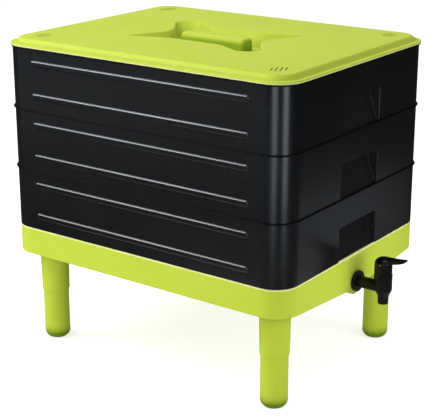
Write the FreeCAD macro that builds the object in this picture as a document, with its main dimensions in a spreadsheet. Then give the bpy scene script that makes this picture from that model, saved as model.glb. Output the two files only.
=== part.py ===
import FreeCAD, Part
import math
import os
import Sketcher

# Wormery: three stacked trays between a collector on four legs and a lid, with a lever tap.
# Millimetres, +Z up, floor at Z 0. The long side lies along X and the tap is on the +X side.

# Driving sizes

SIZES = {
    # Stack
    "stack_length": 530,
    "stack_width": 415,
    "corner_radius": 39,
    "wall": 3,
    "nest_gap": 1,
    "overlap": 1,
    # Tray
    "tray_pitch": 98.5,
    "tray_floor": 3,
    "nest_depth": 8,
    "lip_out": 2.5,
    "lip_height": 2.2,
    "lip_rounding": 1.6,
    "bead_end_inset": 60,
    "bead_height": 9,
    "bead_proud": 2.5,
    "bead_end_radius": 4,
    "bead_rounding": 2.2,
    "bead_upper_drop": 24,
    "bead_lower_drop": 76,
    "grip_width": 109,
    "grip_height": 53.5,
    "grip_depth": 22,
    "grip_foot_depth": 4,
    "grip_corner_radius": 3.5,
    "grip_edge_rounding": 1.2,
    "hole_diameter": 8,
    "hole_pitch": 44,
    "hole_margin": 36,
    # Lid
    "lid_overhang": 3,
    "rim_thickness": 4,
    "rim_rounding": 1.5,
    "skirt_depth": 8,
    "skirt_wall": 2.5,
    "plateau_height": 11.5,
    "plateau_foot_inset": 5,
    "plateau_top_inset": 12,
    "plateau_rounding": 4,
    "recess_side_y": 60,
    "recess_side_x": 48,
    "recess_side_radius": 60,
    "recess_tip_x": 118.5,
    "recess_tip_y": 85.5,
    "recess_tip_radius": 4,
    "recess_waist_x": 82,
    "recess_waist_y": 4,
    "recess_waist_radius": 35,
    "scoop_start_x": 52,
    "scoop_start_radius": 40,
    "scoop_front_x": 104,
    "scoop_front_y": 90,
    "scoop_front_radius": 20,
    "scoop_end_x": 130,
    "scoop_end_y": 66,
    "scoop_end_radius": 16,
    "recess_run_x": 12,
    "recess_run_y": 20,
    "tip_run_x": 40,
    "tip_run_y": 34,
    "recess_edge_rounding": 2.5,
    "dish_drop": 10,
    "bar_length": 122,
    "bar_width": 28,
    "bar_height": 13,
    "bar_rounding": 9,
    "bar_end_rounding": 5,
    "vent_inset_x": 44,
    "vent_inset_y": 48,
    "vent_width": 1.8,
    "vent_pitch": 7,
    "vent_longest": 26,
    "vent_step": 8,
    "vent_turn": 67,
    # Collector
    "leg_reach": 162,
    "collector_depth": 45,
    "collector_rounding": 2,
    "trough_margin": 22,
    "trough_drop_far": 4,
    "trough_drop_tap": 14.5,
    "boss_radius": 22,
    "boss_length": 30,
    # Legs
    "leg_inset_x": 46,
    "leg_inset_y": 51,
    "seat_drop": 5,
    "socket_gap": 0.2,
    "spigot_radius": 17,
    "spigot_height": 30,
    "collar_top_radius": 23.8,
    "collar_foot_radius": 22.7,
    "collar_bottom": 86,
    "leg_radius": 21.2,
    "foot_rounding": 12,
    "foot_thickness": 7,
    "tenon_radius": 18.8,
    "tenon_height": 42,
    "leg_wall": 3,
    "leg_end_rounding": 1,
    "foot_inner_rounding": 2,
    # Tap
    "tap_below_edge": 1,
    "tap_reach": 48,
    "washer_radius": 15,
    "washer_thickness": 2.5,
    "flange_radius": 16.5,
    "flange_thickness": 4,
    "flange_rounding": 1,
    "shank_radius": 9.8,
    "shank_gap": 0.7,
    "shank_inside": 18,
    "thread_gap": 0.05,
    "nut_across_corners": 33,
    "nut_thickness": 9,
    "barrel_radius": 9.2,
    "tap_bore_radius": 6,
    "tap_body_radius": 13,
    "tap_body_top": 23,
    "tap_shoulder": 4,
    "spout_top": 14,
    "spout_top_radius": 8.5,
    "spout_end": 26,
    "spout_end_radius": 8,
    "spout_bore_radius": 5.5,
    "spout_rounding": 1,
    "spout_blend": 4,
    "chamber_radius": 9.5,
    "seat_depth": 7,
    "seal_radius": 8,
    "seal_thickness": 3,
    "holder_thickness": 2.5,
    "holder_rounding": 0.5,
    "stem_radius": 3,
    "stem_end_rounding": 2.8,
    "running_gap": 0.05,
    "cap_radius": 12.3,
    "cap_neck_radius": 11.3,
    "cap_neck_height": 2.5,
    "cap_height": 13,
    "cap_plug_depth": 7,
    "cap_wall": 3,
    "cap_plug_wall": 2.4,
    "cap_rounding": 1.5,
    "cap_neck_rounding": 0.8,
    "spring_inner_radius": 4.2,
    "spring_outer_radius": 6.6,
    "lever_lift": 0.2,
    "lever_heel": 3,
    "lever_width": 14,
    "lever_reach": 35.5,
    "lever_front": 6.2,
    "lever_throat_x": 9.2,
    "lever_throat_z": 0.5,
    "lever_throat_radius": 6,
    "lever_blade_x": 27,
    "lever_blade_z": 5,
    "lever_blade_radius": 30,
    "lever_dip_x": 22,
    "lever_dip_z": 9.4,
    "lever_dip_radius": 30,
    "lever_rise": 10.8,
    "lever_tip": 2.4,
    "lever_tip_rounding": 1,
    "lever_rounding": 0.8,
    "lever_slot_room": 2.2,
    "lever_slot_gap": 0.3,
    "hood_radius": 15,
    "hood_wall": 1.6,
    "hood_crown": 8,
    "hood_rounding": 9,
    "hood_depth": 28,
    "hood_cheek_foot": 4,
    "hood_brow": 1.6,
    "hood_edge_rounding": 0.5,
    "pin_length": 28,
    "pin_radius": 1.5,
}

doc = FreeCAD.newDocument("Wormery")
sheet = doc.addObject("Spreadsheet::Sheet", "size")
for row, (alias, number) in enumerate(SIZES.items(), start=1):
    sheet.set("A%d" % row, alias)
    sheet.set("B%d" % row, str(number))
    sheet.setAlias("B%d" % row, alias)
doc.recompute()

# Sizes that several pieces share, written as expressions on the sheet

HALF_LENGTH = "size.stack_length / 2"
HALF_WIDTH = "size.stack_width / 2"
STACK_X = "-(size.tap_reach + size.lever_reach - size.lid_overhang) / 2"
PLUG_INSET = "size.wall + size.nest_gap"
COLLECTOR_TOP = "size.leg_reach + size.collector_depth"
SOCKET_RADIUS = "size.spigot_radius + size.socket_gap"
SOCKET_DEPTH = "size.spigot_height + size.socket_gap"
SEAL_TOP = "size.seal_thickness - size.seat_depth"
HOLDER_TOP = "size.seal_thickness + size.holder_thickness - size.seat_depth"
CAP_TOP = "size.tap_body_top + size.cap_height"
TAP_X = STACK_X + " + " + HALF_LENGTH
TAP_Z = "size.leg_reach - size.tap_below_edge"
PIN_HEIGHT = "size.tap_body_top + size.cap_height + size.lever_lift + size.lever_heel"


# Document helpers

CLOSE = 1e-3
TINY = 1e-9
previous_volume = {}


def number(expression):
    """Value of an expression on the sheet."""
    result = sheet.evalExpression(expression)
    return float(getattr(result, "Value", result))


def negative(expression):
    return "-(%s)" % expression


def new_body(label, x=STACK_X, y="0", z="0"):
    body = doc.addObject("PartDesign::Body", label)
    body.Label = label
    for axis, expression in zip("xyz", (x, y, z)):
        body.setExpression("Placement.Base." + axis, expression)
    return body


def origin_feature(body, role):
    return next(item for item in body.Origin.OriginFeatures if item.Role == role)


def new_sketch(body, name, plane, offset="0", shift="0"):
    """Sketch on an origin plane, moved by offset along its normal and by shift along its own X."""
    sketch = body.newObject("Sketcher::SketchObject", name)
    sketch.AttachmentSupport = [(origin_feature(body, plane), "")]
    sketch.MapMode = "FlatFace"
    sketch.setExpression("AttachmentOffset.Base.z", offset)
    sketch.setExpression("AttachmentOffset.Base.x", shift)
    return sketch


def bind(sketch, constraint, expression):
    index = sketch.addConstraint(constraint)
    name = "size_%d" % index
    sketch.renameConstraint(index, name)
    sketch.setExpression("Constraints." + name, expression)


def place_point(sketch, geometry, position, x, y):
    """Ties a point of a sketch to its distances from the sketch's origin."""
    for kind, axis, expression in (("DistanceX", -2, x), ("DistanceY", -1, y)):
        value = number(expression)
        if abs(value) < TINY:
            sketch.addConstraint(Sketcher.Constraint("PointOnObject", geometry, position, axis))
        elif value > 0:
            constraint = Sketcher.Constraint(kind, -1, 1, geometry, position, value)
            bind(sketch, constraint, expression)
        else:
            constraint = Sketcher.Constraint(kind, geometry, position, -1, 1, -value)
            bind(sketch, constraint, negative(expression))


def add_outline(sketch, corners):
    """Closed outline through (x, y, radius) corners; a radius of None leaves the corner sharp."""
    points = [FreeCAD.Vector(number(x), number(y), 0) for x, y, radius in corners]
    count = len(corners)
    arrivals = []
    departures = []
    centres = []
    for index, (x, y, radius) in enumerate(corners):
        here = points[index]
        back = (points[index - 1] - here).normalize()
        ahead = (points[(index + 1) % count] - here).normalize()
        if radius is None:
            arrivals.append(here)
            departures.append(here)
            centres.append(None)
            continue
        half_angle = back.getAngle(ahead) / 2
        reach = number(radius) / math.tan(half_angle)
        arrivals.append(here + back * reach)
        departures.append(here + ahead * reach)
        centres.append(here + (back + ahead).normalize() * (number(radius) / math.sin(half_angle)))
    lines = []
    for index in range(count):
        segment = Part.LineSegment(departures[index], arrivals[(index + 1) % count])
        lines.append(sketch.addGeometry(segment, False))
    for index, (x, y, radius) in enumerate(corners):
        before = lines[index - 1]
        after = lines[index]
        if radius is None:
            sketch.addConstraint(Sketcher.Constraint("Coincident", before, 2, after, 1))
            place_point(sketch, after, 1, x, y)
            continue
        corner = sketch.addGeometry(Part.Point(points[index]), True)
        sketch.addConstraint(Sketcher.Constraint("PointOnObject", corner, 1, before))
        sketch.addConstraint(Sketcher.Constraint("PointOnObject", corner, 1, after))
        place_point(sketch, corner, 1, x, y)
        centre = centres[index]
        first = arrivals[index] - centre
        last = departures[index] - centre
        turns_left = first.cross(last).z > 0
        if not turns_left:
            first, last = last, first
        circle = Part.Circle(centre, FreeCAD.Vector(0, 0, 1), number(radius))
        start = math.atan2(first.y, first.x)
        end = math.atan2(last.y, last.x)
        if end < start:
            end += 2 * math.pi
        arc = sketch.addGeometry(Part.ArcOfCircle(circle, start, end), False)
        meets_before, meets_after = (1, 2) if turns_left else (2, 1)
        sketch.addConstraint(Sketcher.Constraint("Tangent", before, 2, arc, meets_before))
        sketch.addConstraint(Sketcher.Constraint("Tangent", after, 1, arc, meets_after))
        bind(sketch, Sketcher.Constraint("Radius", arc, number(radius)), radius)


def add_circle(sketch, x, y, radius):
    centre = FreeCAD.Vector(number(x), number(y), 0)
    circle = Part.Circle(centre, FreeCAD.Vector(0, 0, 1), number(radius))
    geometry = sketch.addGeometry(circle, False)
    place_point(sketch, geometry, 3, x, y)
    bind(sketch, Sketcher.Constraint("Radius", geometry, number(radius)), radius)


def add_stack_outline(sketch, inset):
    """Rounded rectangle that lies inside the stack's outer wall by the inset."""
    x = "%s - (%s)" % (HALF_LENGTH, inset)
    y = "%s - (%s)" % (HALF_WIDTH, inset)
    radius = "size.corner_radius - (%s)" % inset
    add_rectangle(sketch, negative(x), x, negative(y), y, radius)


def add_rectangle(sketch, left, right, bottom, top, radius=None):
    corners = [(left, bottom), (right, bottom), (right, top), (left, top)]
    add_outline(sketch, [(x, y, radius) for x, y in corners])


def finish_feature(body, feature, grows):
    """Recomputes, then makes sure that the feature added or took material as it should."""
    before = previous_volume.get(body.Name, 0.0)
    doc.recompute()
    volume = feature.Shape.Volume
    if (volume - before) * (1 if grows else -1) < CLOSE:
        raise RuntimeError("%s changed %s from %.2f to %.2f" % (feature.Name, body.Label, before, volume))
    previous_volume[body.Name] = volume
    return feature


def extrude(body, kind, sketch, length, symmetric=False, backwards=False):
    feature = body.newObject("PartDesign::" + kind, sketch.Name + "_" + kind.lower())
    feature.Profile = sketch
    feature.SideType = "Symmetric" if symmetric else "One side"
    feature.Reversed = backwards
    feature.setExpression("Length", length)
    return finish_feature(body, feature, kind == "Pad")


def pad(body, sketch, length, **options):
    return extrude(body, "Pad", sketch, length, **options)


def pocket(body, sketch, length, **options):
    return extrude(body, "Pocket", sketch, length, **options)


def turn(body, kind, sketch, axis):
    """Full revolution (or groove) of a sketch about its own H_Axis or V_Axis."""
    feature = body.newObject("PartDesign::" + kind, sketch.Name + "_" + kind.lower())
    feature.Profile = sketch
    feature.ReferenceAxis = (sketch, [axis])
    feature.Angle = 360
    return finish_feature(body, feature, kind == "Revolution")


def loft(body, kind, first, last):
    feature = body.newObject("PartDesign::" + kind, first.Name + "_loft")
    feature.Profile = first
    feature.Sections = [last]
    feature.Ruled = True
    return finish_feature(body, feature, kind == "AdditiveLoft")


def round_edges(body, name, radius, wanted):
    """Fillet on the edges of the body so far whose points all satisfy the test."""
    base = body.Tip
    chosen = []
    for index, edge in enumerate(base.Shape.Edges, start=1):
        first, last = edge.ParameterRange
        middle = edge.valueAt((first + last) / 2)
        ends = [vertex.Point for vertex in edge.Vertexes]
        if all(wanted(point) for point in ends + [middle]):
            chosen.append("Edge%d" % index)
    feature = body.newObject("PartDesign::Fillet", name)
    feature.Base = (base, chosen)
    feature.setExpression("Radius", radius)
    doc.recompute()
    previous_volume[body.Name] = feature.Shape.Volume
    return feature


def near(value, expression):
    return abs(value - number(expression)) < CLOSE


# Trays

def make_tray(label, level):
    """One working tray. Its own Z 0 is the lower edge of its outer wall."""
    body = new_body(label, z=level)

    step = new_sketch(body, label + "_step", "XY_Plane", offset="-size.nest_depth")
    add_stack_outline(step, PLUG_INSET)
    pad(body, step, "size.nest_depth + size.tray_floor")

    outer = new_sketch(body, label + "_wall", "XY_Plane")
    add_stack_outline(outer, "0")
    pad(body, outer, "size.tray_pitch")

    lip_foot = "size.tray_pitch - size.lip_height"
    lip = new_sketch(body, label + "_lip", "XY_Plane", offset=lip_foot)
    add_stack_outline(lip, "-size.lip_out")
    pad(body, lip, "size.lip_height")
    lip_x = HALF_LENGTH + " + size.lip_out"
    lip_y = HALF_WIDTH + " + size.lip_out"

    def under_lip(point):
        at_foot = near(point.z, lip_foot)
        straight = near(abs(point.x), lip_x) or near(abs(point.y), lip_y)
        corner_x = number(HALF_LENGTH + " - size.corner_radius")
        corner_y = number(HALF_WIDTH + " - size.corner_radius")
        from_corner = math.hypot(abs(point.x) - corner_x, abs(point.y) - corner_y)
        return at_foot and (straight or near(from_corner, "size.corner_radius + size.lip_out"))

    round_edges(body, label + "_lip_rounding", "size.lip_rounding", under_lip)

    beads = new_sketch(body, label + "_beads", "XZ_Plane")
    bead_x = HALF_LENGTH + " - size.bead_end_inset"
    for drop in ("size.bead_upper_drop", "size.bead_lower_drop"):
        middle = "size.tray_pitch - " + drop
        low = middle + " - size.bead_height / 2"
        high = middle + " + size.bead_height / 2"
        add_rectangle(beads, negative(bead_x), bead_x, low, high, "size.bead_end_radius")
    pad(body, beads, "size.stack_width + 2 * size.bead_proud", symmetric=True)
    bead_y = HALF_WIDTH + " + size.bead_proud"
    below_lip = number(lip_foot) - CLOSE
    round_edges(body, label + "_bead_rounding", "size.bead_rounding",
                lambda point: near(abs(point.y), bead_y) and point.z < below_lip)

    inside = new_sketch(body, label + "_inside", "XY_Plane", offset="size.tray_pitch")
    add_stack_outline(inside, "size.wall")
    pocket(body, inside, "size.tray_pitch - size.tray_floor")

    well = new_sketch(body, label + "_well", "XY_Plane", offset="size.tray_floor")
    add_stack_outline(well, PLUG_INSET + " + size.wall")
    pocket(body, well, "size.nest_depth")

    add_grips(body, label)
    add_floor_holes(body, label)
    return body


def grip_profile(sketch, side, outside, extra):
    """Side view of a hand-hold: deep at its top, shallow at the tray's lower edge."""
    top = "size.grip_height + (%s)" % extra
    deep = "%s - size.grip_depth - (%s)" % (HALF_LENGTH, extra)
    shallow = "%s - size.grip_foot_depth - (%s)" % (HALF_LENGTH, extra)
    corners = [(outside, "0"), (outside, top), (deep, top), (shallow, "0")]
    if side < 0:
        corners = [(negative(x), y) for x, y in corners]
    add_outline(sketch, [(x, y, None) for x, y in corners])


def add_grips(body, label):
    """A hand-hold in each short wall, with the wall carried round behind it."""
    backing = new_sketch(body, label + "_grip_backing", "XZ_Plane")
    recess = new_sketch(body, label + "_grip", "XZ_Plane")
    for side in (1, -1):
        grip_profile(backing, side, HALF_LENGTH + " - size.wall / 2", "size.wall")
        grip_profile(recess, side, HALF_LENGTH + " + size.wall", "0")
    pad(body, backing, "size.grip_width + 2 * size.wall", symmetric=True)
    pocket(body, recess, "size.grip_width", symmetric=True)
    half_grip = "size.grip_width / 2"
    round_edges(body, label + "_grip_corners", "size.grip_corner_radius",
                lambda point: near(abs(point.y), half_grip) and near(point.z, "size.grip_height"))
    mouth_height = number("size.grip_height") + CLOSE
    mouth_half = number(half_grip) + CLOSE

    def on_mouth(point):
        inside_mouth = abs(point.y) < mouth_half and 0 <= point.z < mouth_height
        return near(abs(point.x), HALF_LENGTH) and inside_mouth

    round_edges(body, label + "_grip_edge", "size.grip_edge_rounding", on_mouth)


def add_floor_holes(body, label):
    """Round holes that the worms climb through, in even rows over the floor."""
    span_x = "size.stack_length - 2 * size.hole_margin"
    span_y = "size.stack_width - 2 * size.hole_margin"
    count_x = "floor((%s) / size.hole_pitch)" % span_x
    count_y = "floor((%s) / size.hole_pitch)" % span_y
    first = new_sketch(body, label + "_hole", "XY_Plane", offset="0")
    start_x = "-(%s) * size.hole_pitch / 2" % count_x
    start_y = "-(%s) * size.hole_pitch / 2" % count_y
    add_circle(first, start_x, start_y, "size.hole_diameter / 2")
    hole = pocket(body, first, "size.nest_depth + size.overlap")
    rows = body.newObject("PartDesign::LinearPattern", label + "_holes")
    rows.Originals = [hole]
    rows.Direction = (origin_feature(body, "X_Axis"), [""])
    rows.Direction2 = (origin_feature(body, "Y_Axis"), [""])
    rows.setExpression("Occurrences", count_x + " + 1")
    rows.setExpression("Length", "(%s) * size.hole_pitch" % count_x)
    rows.setExpression("Occurrences2", count_y + " + 1")
    rows.setExpression("Length2", "(%s) * size.hole_pitch" % count_y)
    body.Tip = rows
    finish_feature(body, rows, False)


# Lid

def recess_corners(run_x, run_y, tip_run_x, tip_run_y, spread):
    """Outline of the lid's hand-hold, drawn in by the runs. It looks the same turned half round."""
    half = [
        ("-size.recess_tip_x + (%s)" % tip_run_x, "-size.recess_tip_y + (%s)" % tip_run_y,
         "size.recess_tip_radius + " + spread),
        ("-size.recess_side_x + (%s)" % run_x, "-size.recess_side_y + (%s)" % run_y,
         "size.recess_side_radius"),
        ("size.scoop_start_x - (%s)" % run_x, "-size.recess_side_y + (%s)" % run_y,
         "size.scoop_start_radius"),
        ("size.scoop_front_x - (%s)" % run_x, "-size.scoop_front_y + (%s)" % run_y,
         "size.scoop_front_radius"),
        ("size.scoop_end_x - (%s)" % run_x, "-size.scoop_end_y + (%s)" % run_y,
         "size.scoop_end_radius"),
        ("size.recess_waist_x - (%s)" % run_x, "size.recess_waist_y",
         "size.recess_waist_radius"),
    ]
    turned = [(negative(x), negative(y), radius) for x, y, radius in half]
    return half + turned


def add_dish(body, kind, name, top_height, floor_height, thickness):
    """Dish from its outline on the lid's top down to its floor, grown all round by the thickness."""
    grown = negative(thickness)
    runs = ["size.recess_run_x", "size.recess_run_y", "size.tip_run_x", "size.tip_run_y"]
    top = new_sketch(body, name + "_top", "XY_Plane", offset=top_height)
    add_outline(top, recess_corners(grown, grown, grown, grown, thickness))
    floor = new_sketch(body, name + "_floor", "XY_Plane", offset=floor_height)
    floor_runs = ["%s - %s" % (run, thickness) for run in runs]
    add_outline(floor, recess_corners(*floor_runs, thickness))
    loft(body, kind, top, floor)


def make_lid():
    """Lid. Its own Z 0 is the underside of its rim."""
    body = new_body("lid", z=COLLECTOR_TOP + " + 3 * size.tray_pitch")

    rim = new_sketch(body, "lid_rim", "XY_Plane")
    add_stack_outline(rim, "-size.lid_overhang")
    pad(body, rim, "size.rim_thickness")
    round_edges(body, "lid_rim_rounding", "size.rim_rounding", lambda point: True)

    foot = new_sketch(body, "plateau_foot", "XY_Plane", offset="size.rim_thickness - size.overlap / 2")
    add_stack_outline(foot, "size.plateau_foot_inset")
    top = new_sketch(body, "plateau_top", "XY_Plane", offset="size.plateau_height")
    add_stack_outline(top, "size.plateau_top_inset")
    loft(body, "AdditiveLoft", foot, top)
    round_edges(body, "plateau_rounding", "size.plateau_rounding",
                lambda point: near(point.z, "size.plateau_height"))

    hollow_foot = new_sketch(body, "hollow_foot", "XY_Plane")
    add_stack_outline(hollow_foot, "size.plateau_foot_inset + size.wall")
    hollow_top = new_sketch(body, "hollow_top", "XY_Plane",
                            offset="size.plateau_height - size.wall")
    add_stack_outline(hollow_top, "size.plateau_top_inset + size.wall")
    loft(body, "SubtractiveLoft", hollow_foot, hollow_top)

    skirt = new_sketch(body, "lid_skirt", "XY_Plane", offset="-size.skirt_depth")
    add_stack_outline(skirt, PLUG_INSET)
    add_stack_outline(skirt, PLUG_INSET + " + size.skirt_wall")
    pad(body, skirt, "size.skirt_depth + size.rim_thickness / 2")

    # Dished hand-hold: the skin dips under it, then the dish is cut, then the bar crosses it
    add_dish(body, "AdditiveLoft", "dish_skin", "size.plateau_height - size.overlap / 2",
             "-size.dish_drop - size.wall", "size.wall")
    add_dish(body, "SubtractiveLoft", "dish", "size.plateau_height", "-size.dish_drop", "0")
    recess_reach_x = number("size.scoop_end_x") + CLOSE
    recess_reach_y = number("size.scoop_front_y") + CLOSE

    def on_dish_edge(point):
        inside_reach = abs(point.x) < recess_reach_x and abs(point.y) < recess_reach_y
        return inside_reach and near(point.z, "size.plateau_height")

    round_edges(body, "dish_edge", "size.recess_edge_rounding", on_dish_edge)

    half_bar = "size.bar_width / 2"
    bar_foot = "-size.dish_drop - size.wall / 2"
    bar = new_sketch(body, "bar", "YZ_Plane")
    add_outline(bar, [
        (negative(half_bar), bar_foot, None),
        (half_bar, bar_foot, None),
        (half_bar, "size.bar_height", "size.bar_rounding"),
        (negative(half_bar), "size.bar_height", "size.bar_rounding"),
    ])
    pad(body, bar, "size.bar_length", symmetric=True)

    def on_bar_end(point):
        above_floor = point.z + number("size.dish_drop")
        beside = near(abs(point.y), half_bar) and above_floor > -CLOSE
        return near(abs(point.x), "size.bar_length / 2") and (above_floor > CLOSE or beside)

    round_edges(body, "bar_end_rounding", "size.bar_end_rounding", on_bar_end)
    bar_inside = new_sketch(body, "bar_inside", "XY_Plane", offset="-size.dish_drop - size.wall")
    inside_x = "size.bar_length / 2 - size.wall"
    inside_y = "size.bar_width / 2 - size.wall"
    add_rectangle(bar_inside, negative(inside_x), inside_x, negative(inside_y), inside_y,
                  "size.wall")
    pocket(body, bar_inside, "size.dish_drop + size.bar_height", backwards=True)

    add_vents(body)
    return body


def add_vents(body):
    """Vent slots near each corner, in a row across the corner's bisector."""
    sketch = new_sketch(body, "vents", "XY_Plane", offset="size.plateau_height")
    for sign_x in (1, -1):
        for sign_y in (1, -1):
            for place in (-1.5, -0.5, 0.5, 1.5):
                add_vent(sketch, sign_x, sign_y, place)
    pocket(body, sketch, "size.wall + size.overlap")


def add_vent(sketch, sign_x, sign_y, place):
    """One slot of a group; the two in the middle are the longest."""
    along = "(size.vent_longest - %.1f * size.vent_step) / 2" % (abs(place) - 0.5)
    across = "size.vent_width / 2"
    aside = "%.1f * size.vent_pitch * cos(45)" % place
    corners = []
    for end, edge in ((-1, -1), (1, -1), (1, 1), (-1, 1)):
        out_x = "%d * %s * cos(size.vent_turn)" % (end, along)
        out_y = "%d * %s * sin(size.vent_turn)" % (end, along)
        side_x = "%d * %s * sin(size.vent_turn)" % (edge, across)
        side_y = "%d * %s * cos(size.vent_turn)" % (edge, across)
        x = "%s - size.vent_inset_x + %s + %s + %s" % (HALF_LENGTH, aside, out_x, side_x)
        y = "%s - size.vent_inset_y - %s + %s - %s" % (HALF_WIDTH, aside, out_y, side_y)
        corners.append(("%d * (%s)" % (sign_x, x), "%d * (%s)" % (sign_y, y), None))
    add_outline(sketch, corners)


# Collector

def leg_places():
    """Centres of the four legs in the collector's own X and Y, with the name of each corner."""
    x = HALF_LENGTH + " - size.leg_inset_x"
    y = HALF_WIDTH + " - size.leg_inset_y"
    return {
        "front_left": (negative(x), negative(y)),
        "front_right": (x, negative(y)),
        "back_left": (negative(x), y),
        "back_right": (x, y),
    }


def make_collector():
    """Collector tray. Its own Z 0 is the straight lower edge of its long walls."""
    body = new_body("collector", z="size.leg_reach")
    deep = "size.boss_radius + size.tap_below_edge"

    outer = new_sketch(body, "collector_wall", "XY_Plane", offset=negative(deep))
    add_stack_outline(outer, "0")
    pad(body, outer, "size.collector_depth + " + deep)
    round_edges(body, "collector_top_rounding", "size.collector_rounding",
                lambda point: near(point.z, "size.collector_depth"))

    # The underside is a shallow V that deepens towards the tap
    edge = HALF_WIDTH + " - size.trough_margin"
    beyond_y = HALF_WIDTH + " + size.wall"
    beyond_z = negative(deep + " + size.wall")
    beyond_x = HALF_LENGTH + " + size.wall"
    ends = []
    for name, place, drop in (("far", negative(beyond_x), "size.trough_drop_far"),
                              ("tap", beyond_x, "size.trough_drop_tap")):
        under = new_sketch(body, "underside_" + name, "YZ_Plane", offset=place)
        corners = [(negative(beyond_y), beyond_z), (beyond_y, beyond_z), (beyond_y, "0"),
                   (edge, "0"), ("0", negative(drop)), (negative(edge), "0"),
                   (negative(beyond_y), "0")]
        add_outline(under, [(x, y, None) for x, y in corners])
        ends.append(under)
    loft(body, "SubtractiveLoft", *ends)

    boss = new_sketch(body, "boss", "YZ_Plane", offset=HALF_LENGTH + " - size.boss_length")
    add_circle(boss, "0", "-size.tap_below_edge", "size.boss_radius")
    pad(body, boss, "size.boss_length")

    seats = new_sketch(body, "leg_seats", "XY_Plane", offset="-size.seat_drop")
    for x, y in leg_places().values():
        add_circle(seats, x, y, "size.collar_top_radius")
    pad(body, seats, "size.seat_drop + size.wall")

    inside = new_sketch(body, "collector_inside", "XY_Plane", offset="size.collector_depth")
    add_stack_outline(inside, "size.wall")
    pocket(body, inside, "size.collector_depth - size.wall")

    brim = "size.wall + size.overlap"
    inner_end = HALF_LENGTH + " - size.wall"
    ends = []
    for name, place, drop in (("far", negative(inner_end), "size.trough_drop_far"),
                              ("tap", inner_end, "size.trough_drop_tap")):
        trough = new_sketch(body, "trough_" + name, "YZ_Plane", offset=place)
        corners = [(negative(edge), "size.wall"), ("0", "size.wall - " + drop), (edge, "size.wall"),
                   (edge, brim), (negative(edge), brim)]
        add_outline(trough, [(x, y, None) for x, y in corners])
        ends.append(trough)
    loft(body, "SubtractiveLoft", *ends)

    posts = new_sketch(body, "leg_posts", "XY_Plane", offset="-size.seat_drop")
    sockets = new_sketch(body, "leg_sockets", "XY_Plane", offset="-size.seat_drop")
    for x, y in leg_places().values():
        add_circle(posts, x, y, SOCKET_RADIUS + " + size.wall")
        add_circle(sockets, x, y, SOCKET_RADIUS)
    pad(body, posts, SOCKET_DEPTH + " + size.wall")
    pocket(body, sockets, SOCKET_DEPTH, backwards=True)

    sump = new_sketch(body, "sump", "YZ_Plane", offset=HALF_LENGTH + " - size.wall")
    add_circle(sump, "0", "-size.tap_below_edge", "size.boss_radius - size.wall")
    pocket(body, sump, "size.boss_length - 2 * size.wall")

    tap_hole = new_sketch(body, "tap_hole", "YZ_Plane", offset=HALF_LENGTH)
    add_circle(tap_hole, "0", "-size.tap_below_edge", "size.shank_radius + size.shank_gap")
    pocket(body, tap_hole, "size.wall + size.overlap")
    return body


# Legs

def make_upper_leg(corner, x, y):
    """Upper leg. Its own Z 0 is the shoulder that the collector stands on."""
    label = "upper_leg_" + corner
    shoulder = "size.leg_reach - size.seat_drop"
    body = new_body(label, "%s + %s" % (STACK_X, x), y, shoulder)
    length = shoulder + " - size.collar_bottom"
    bore_radius = "size.tenon_radius + size.socket_gap"
    bore_top = "size.tenon_height + size.socket_gap - (%s)" % length
    spigot_inside = "size.spigot_radius - size.leg_wall"
    profile = new_sketch(body, label + "_profile", "XZ_Plane")
    add_outline(profile, [
        ("0", bore_top, None),
        (bore_radius, bore_top, None),
        (bore_radius, negative(length), None),
        ("size.collar_foot_radius", negative(length), "size.leg_end_rounding"),
        ("size.collar_top_radius", "0", None),
        ("size.spigot_radius", "0", None),
        ("size.spigot_radius", "size.spigot_height", "size.leg_end_rounding"),
        (spigot_inside, "size.spigot_height", None),
        (spigot_inside, bore_top + " + size.leg_wall", None),
        ("0", bore_top + " + size.leg_wall", None),
    ])
    turn(body, "Revolution", profile, "V_Axis")
    return body


def make_lower_leg(corner, x, y):
    """Lower leg. Its own Z 0 is the floor."""
    label = "lower_leg_" + corner
    body = new_body(label, "%s + %s" % (STACK_X, x), y, "0")
    inside = "size.tenon_radius - size.leg_wall"
    top = "size.collar_bottom + size.tenon_height"
    profile = new_sketch(body, label + "_profile", "XZ_Plane")
    add_outline(profile, [
        ("0", "0", None),
        ("size.leg_radius", "0", "size.foot_rounding"),
        ("size.leg_radius", "size.collar_bottom", None),
        ("size.tenon_radius", "size.collar_bottom", None),
        ("size.tenon_radius", top, "size.leg_end_rounding"),
        (inside, top, None),
        (inside, "size.foot_thickness", "size.foot_inner_rounding"),
        ("0", "size.foot_thickness", None),
    ])
    turn(body, "Revolution", profile, "V_Axis")
    return body


# Tap: own X 0 on the collector's outer wall, own Z 0 on the axis of the barrel

def tap_piece(label):
    return new_body(label, TAP_X, "0", TAP_Z)


def pivot_piece(label):
    """Piece whose own origin is the lever's pivot."""
    return new_body(label, TAP_X + " + size.tap_reach", "0", TAP_Z + " + " + PIN_HEIGHT)


def make_ring(label, start, thickness, inner_radius, outer_radius):
    """Flat ring round the barrel's axis."""
    body = tap_piece(label)
    ring = new_sketch(body, label + "_ring", "YZ_Plane", offset=start)
    add_circle(ring, "0", "0", inner_radius)
    add_circle(ring, "0", "0", outer_radius)
    pad(body, ring, thickness)
    return body


def make_tap_nut():
    body = tap_piece("tap_nut")
    back = "-size.wall - size.washer_thickness - size.nut_thickness"
    nut = new_sketch(body, "nut_flats", "YZ_Plane", offset=back)
    corners = []
    for place in range(6):
        y = "size.nut_across_corners / 2 * cos(%d)" % (60 * place)
        z = "size.nut_across_corners / 2 * sin(%d)" % (60 * place)
        corners.append((y, z, None))
    add_outline(nut, corners)
    add_circle(nut, "0", "0", "size.shank_radius + size.thread_gap")
    pad(body, nut, "size.nut_thickness")
    return body


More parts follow.
